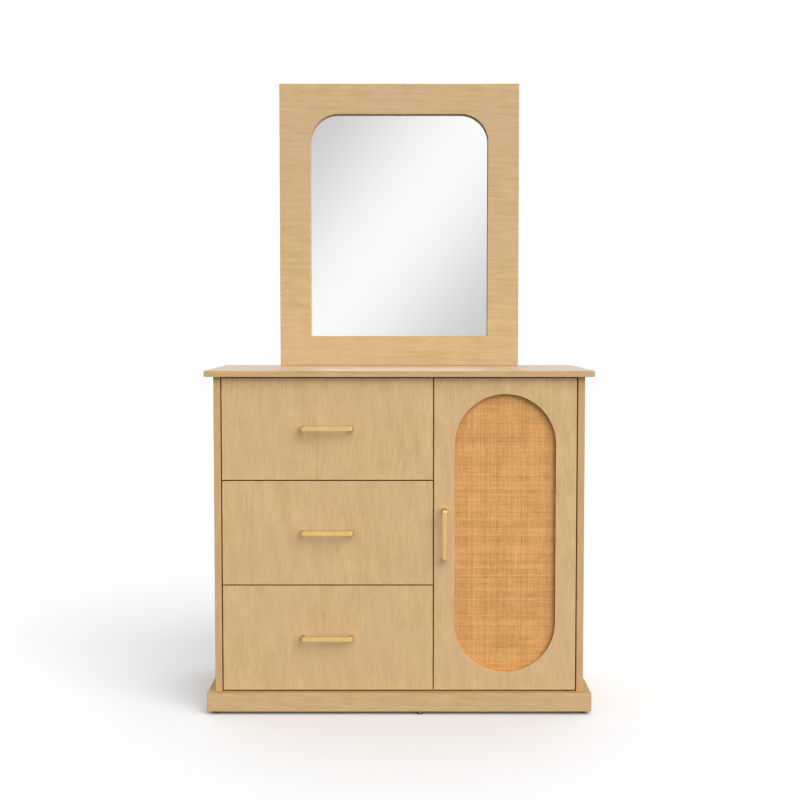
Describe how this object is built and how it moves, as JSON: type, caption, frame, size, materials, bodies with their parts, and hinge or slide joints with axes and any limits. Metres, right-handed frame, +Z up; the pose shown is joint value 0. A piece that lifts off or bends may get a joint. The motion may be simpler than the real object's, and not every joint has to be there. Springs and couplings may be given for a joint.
{
  "type": "dresser with drawers",
  "caption": "Oak-veneered dresser with a stack of drawers beside a door with a cane window, on a skirting plinth, with a framed mirror standing on its top.",
  "frame": {"origin": "on the floor, at the middle of the width and of the overall depth, handles included", "axes": "+X to the right as seen from the front, -Y towards the front, +Z up"},
  "size_m": [1, 0.496, 1.688],
  "materials": {
    "oak_veneer": "light oak veneer, satin",
    "drawer_board": "pale foil-faced board, matt",
    "back_board": "thin hardboard, matt",
    "woven_cane": "tight fine woven cane on a backing board",
    "satin_brass": "satin",
    "mirror_glass": "silvered glass",
    "zinc_steel": "zinc plated",
    "foot_plastic": "brown moulded plastic"
  },
  "bodies": {
    "cabinet": {"top_board": "oak_veneer", "side_panel_left": "oak_veneer", "side_panel_right": "oak_veneer", "divider_panel": "oak_veneer", "bottom_panel": "oak_veneer", "back_panel": "back_board", "shelf": "oak_veneer", "plinth_front": "oak_veneer", "plinth_left": "oak_veneer", "plinth_right": "oak_veneer", "plinth_back": "oak_veneer", "foot_front_left": "foot_plastic", "foot_front_right": "foot_plastic", "foot_back_left": "foot_plastic", "foot_back_right": "foot_plastic", "foot_front_middle": "foot_plastic", "mirror_frame": "oak_veneer", "mirror_glass": "mirror_glass", "mirror_backing": "back_board", "mirror_post_left": "oak_veneer", "mirror_post_right": "oak_veneer", "rail_bottom_left": "zinc_steel", "rail_bottom_right": "zinc_steel", "rail_middle_left": "zinc_steel", "rail_middle_right": "zinc_steel", "rail_top_left": "zinc_steel", "rail_top_right": "zinc_steel", "pivot_bush_upper": "zinc_steel", "pivot_bush_lower": "zinc_steel", "door_catch": "foot_plastic"},
    "drawer_bottom": {"drawer_bottom_front": "oak_veneer", "drawer_bottom_side_left": "drawer_board", "drawer_bottom_side_right": "drawer_board", "drawer_bottom_back": "drawer_board", "drawer_bottom_bottom": "back_board", "drawer_bottom_handle": "satin_brass", "drawer_bottom_slide_left": "zinc_steel", "drawer_bottom_slide_right": "zinc_steel"},
    "drawer_middle": {"drawer_middle_front": "oak_veneer", "drawer_middle_side_left": "drawer_board", "drawer_middle_side_right": "drawer_board", "drawer_middle_back": "drawer_board", "drawer_middle_bottom": "back_board", "drawer_middle_handle": "satin_brass", "drawer_middle_slide_left": "zinc_steel", "drawer_middle_slide_right": "zinc_steel"},
    "drawer_top": {"drawer_top_front": "oak_veneer", "drawer_top_side_left": "drawer_board", "drawer_top_side_right": "drawer_board", "drawer_top_back": "drawer_board", "drawer_top_bottom": "back_board", "drawer_top_handle": "satin_brass", "drawer_top_slide_left": "zinc_steel", "drawer_top_slide_right": "zinc_steel"},
    "door": {"door_panel": "oak_veneer", "cane_panel": "woven_cane", "door_handle": "satin_brass", "pivot_pin_upper": "zinc_steel", "pivot_pin_lower": "zinc_steel", "strike_plate": "zinc_steel"}
  },
  "joints": [
    {"name": "drawer_bottom_slide", "type": "slide", "parent": "cabinet", "child": "drawer_bottom", "axis": [0, -1, 0], "range_m": [0, 0.3]},
    {"name": "drawer_middle_slide", "type": "slide", "parent": "cabinet", "child": "drawer_middle", "axis": [0, -1, 0], "range_m": [0, 0.3]},
    {"name": "drawer_top_slide", "type": "slide", "parent": "cabinet", "child": "drawer_top", "axis": [0, -1, 0], "range_m": [0, 0.3]},
    {"name": "door_hinge", "type": "hinge", "parent": "cabinet", "child": "door", "pos_m": [0.4385, -0.207, 0.06], "axis": [0, 0, 1], "range_deg": [0, 110]}
  ]
}
